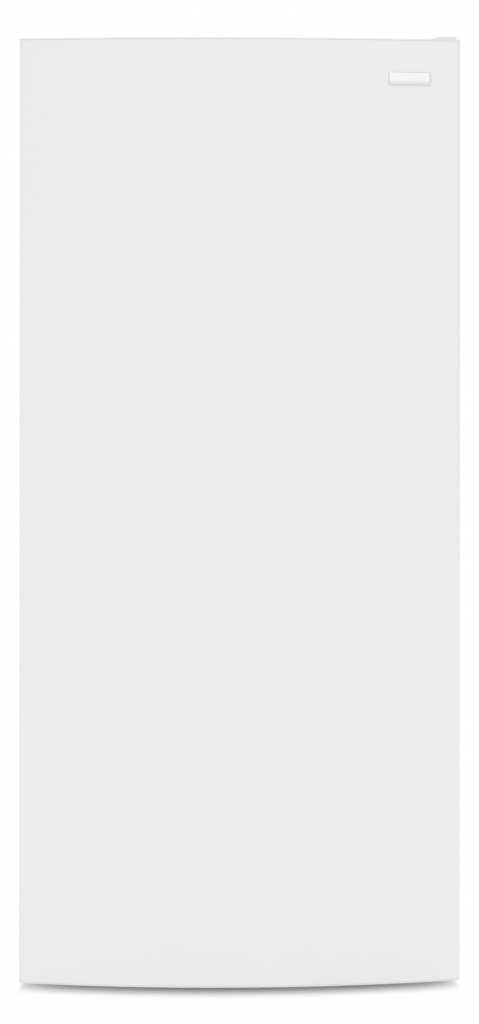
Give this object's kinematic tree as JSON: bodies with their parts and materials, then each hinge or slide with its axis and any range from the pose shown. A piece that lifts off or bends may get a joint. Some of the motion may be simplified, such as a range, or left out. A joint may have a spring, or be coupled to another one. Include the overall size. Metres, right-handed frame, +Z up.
{
  "type": "upright freezer",
  "caption": "White upright household freezer with one bowed door hinged on the right, glass shelves, door bins and a sliding wire basket.",
  "frame": {"origin": "on the floor, at the middle of the outer width and depth", "axes": "+Z up; -Y is the front, where the door is; +X is the hinge side"},
  "size_m": [0.711, 0.727, 1.564],
  "materials": {
    "enamel": "white enamel, semi-gloss",
    "liner": "thermoformed white sheet",
    "white_plastic": "moulded, semi-gloss",
    "clear_plastic": "clear moulded",
    "foam": "rigid foamed-in insulation",
    "gasket": "soft magnetic seal",
    "shelf_glass": "toughened",
    "coated_wire": "plastic-dipped wire",
    "zinc_steel": "zinc-plated",
    "back_steel": "galvanised sheet",
    "black_steel": "black paint",
    "black_plastic": "moulded",
    "grey_plastic": "moulded",
    "aluminium": "plain fins",
    "copper": "bare copper",
    "badge_metal": "satin",
    "display": "smoked window"
  },
  "bodies": {
    "cabinet": {"cabinet_wrapper": "enamel", "front_sill": "enamel", "base_pan": "zinc_steel", "back_panel": "back_steel", "cabinet_liner": "liner", "cabinet_foam": "foam", "bay_bulkhead": "zinc_steel", "rear_access_cover": "back_steel", "cord_gland": "black_plastic", "top_hinge_plate": "zinc_steel", "top_hinge_cover": "white_plastic", "bottom_hinge_bracket": "zinc_steel", "roller_bracket_left": "zinc_steel", "roller_bracket_right": "zinc_steel", "compressor": "black_steel", "compressor_relay_cover": "black_plastic", "condenser_coil": "black_steel", "drain_pan": "black_plastic", "condenser_fan_shroud": "zinc_steel", "condenser_fan_motor": "grey_plastic", "suction_line": "copper", "evaporator_cover": "white_plastic", "evaporator_coil": "aluminium", "defrost_heater": "zinc_steel", "drain_trough": "grey_plastic", "evaporator_fan_motor": "grey_plastic", "shelf_frame_1": "white_plastic", "shelf_glass_1": "shelf_glass", "shelf_frame_2": "white_plastic", "shelf_glass_2": "shelf_glass", "shelf_frame_3": "white_plastic", "shelf_glass_3": "shelf_glass", "control_housing": "white_plastic", "control_display": "display", "lamp_cover": "clear_plastic"},
    "door": {"door_skin": "enamel", "door_liner": "liner", "door_foam": "foam", "door_top_cap": "white_plastic", "door_bottom_cap": "white_plastic", "door_gasket": "gasket", "handle_pocket": "white_plastic", "badge_plate": "badge_metal", "door_bin_1": "clear_plastic", "door_bin_2": "clear_plastic", "door_bin_3": "clear_plastic", "door_bin_4": "clear_plastic", "door_bin_5": "clear_plastic"},
    "basket": {"wire_basket": "coated_wire", "basket_handle": "white_plastic"},
    "door_switch": {"door_switch_plunger": "grey_plastic"},
    "evaporator_fan": {"evaporator_fan_blade": "white_plastic"},
    "condenser_fan": {"condenser_fan_blade": "black_plastic"},
    "left_roller": {"rear_roller_left": "black_plastic"},
    "right_roller": {"rear_roller_right": "black_plastic"},
    "left_leg": {"levelling_leg_left": "grey_plastic"},
    "right_leg": {"levelling_leg_right": "grey_plastic"},
    "button_1": {"control_button_1": "white_plastic"},
    "button_2": {"control_button_2": "white_plastic"},
    "button_3": {"control_button_3": "white_plastic"}
  },
  "joints": [
    {"name": "door_swing", "type": "hinge", "parent": "cabinet", "child": "door", "pos_m": [0.3415, -0.3205, 0.9], "axis": [0, 0, 1], "range_deg": [0, 115]},
    {"name": "basket_slide", "type": "slide", "parent": "cabinet", "child": "basket", "axis": [0, -1, 0], "range_m": [0, 0.2]},
    {"name": "door_switch_release", "type": "slide", "parent": "cabinet", "child": "door_switch", "axis": [0, -1, 0], "range_m": [0, 0.005]},
    {"name": "evaporator_fan_spin", "type": "hinge", "parent": "cabinet", "child": "evaporator_fan", "pos_m": [0, 0.2932, 1.29], "axis": [0, -1, 0], "continuous": true},
    {"name": "condenser_fan_spin", "type": "hinge", "parent": "cabinet", "child": "condenser_fan", "pos_m": [0.002, 0.2465, 0.1381], "axis": [1, 0, 0], "continuous": true},
    {"name": "left_roller_roll", "type": "hinge", "parent": "cabinet", "child": "left_roller", "pos_m": [-0.2955, 0.2935, 0.014], "axis": [1, 0, 0], "continuous": true},
    {"name": "right_roller_roll", "type": "hinge", "parent": "cabinet", "child": "right_roller", "pos_m": [0.2955, 0.2935, 0.014], "axis": [1, 0, 0], "continuous": true},
    {"name": "left_leg_turn", "type": "hinge", "parent": "cabinet", "child": "left_leg", "pos_m": [-0.3155, -0.2435, 0], "axis": [0, 0, 1], "continuous": true},
    {"name": "right_leg_turn", "type": "hinge", "parent": "cabinet", "child": "right_leg", "pos_m": [0.3155, -0.2435, 0], "axis": [0, 0, 1], "continuous": true},
    {"name": "button_1_press", "type": "slide", "parent": "cabinet", "child": "button_1", "axis": [0, 1, 0], "range_m": [0, 0.0015], "stiffness_N_per_m": 400},
    {"name": "button_2_press", "type": "slide", "parent": "cabinet", "child": "button_2", "axis": [0, 1, 0], "range_m": [0, 0.0015], "stiffness_N_per_m": 400},
    {"name": "button_3_press", "type": "slide", "parent": "cabinet", "child": "button_3", "axis": [0, 1, 0], "range_m": [0, 0.0015], "stiffness_N_per_m": 400}
  ],
  "couplings": [
    {"joint": "basket_slide", "follows": "door_swing", "m_per_rad": 0.0996},
    {"joint": "door_switch_release", "follows": "door_swing", "m_per_rad": 0.00249}
  ]
}
